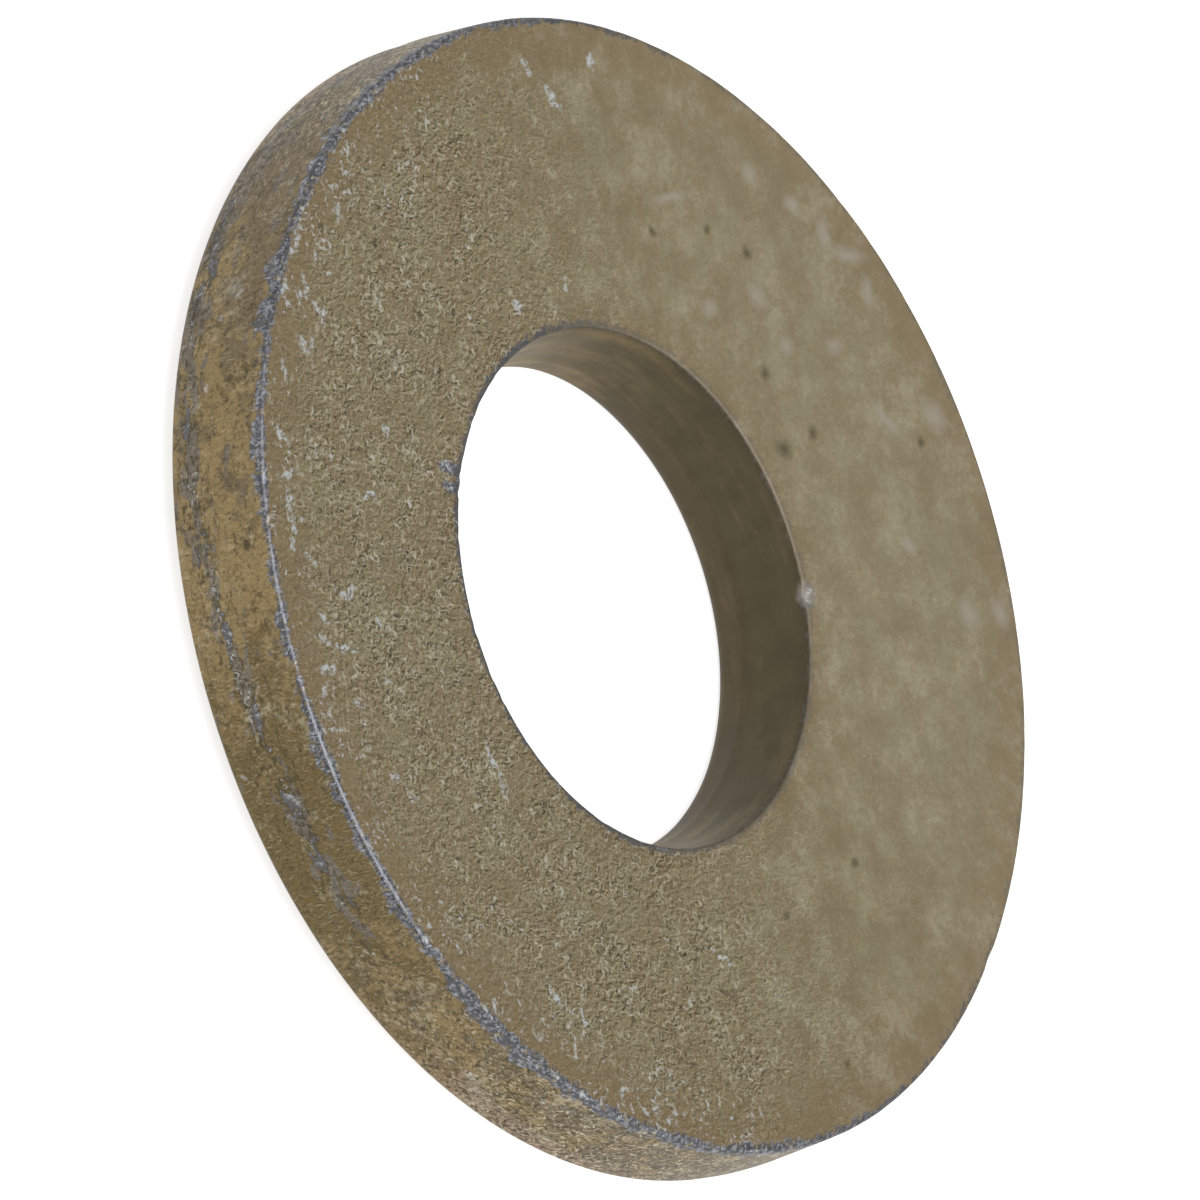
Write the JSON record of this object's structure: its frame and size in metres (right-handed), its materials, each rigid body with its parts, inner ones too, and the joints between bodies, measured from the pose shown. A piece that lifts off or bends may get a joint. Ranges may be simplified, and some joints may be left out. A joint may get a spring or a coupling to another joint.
{
  "type": "conical spring washer",
  "caption": "Round conical spring washer of thick sheet steel with a plain screw hole, sheared and torn edges, and a worn olive-yellow passivated finish.",
  "frame": {"origin": "middle of the circle that the washer rests on, the rolled lower edge of its hole", "axes": "+Z along the axis of the hole, towards the hollow face; +X and +Y lie in the surface it rests on, and the camera of the scene looks along +Y"},
  "size_m": [0.035, 0.035, 0.0042],
  "materials": {
    "passivated_spring_steel": "satin, olive-yellow passivated zinc, worn to bare grey on the edges"
  },
  "bodies": {
    "root": {"spring_washer": "passivated_spring_steel"}
  },
  "joints": []
}
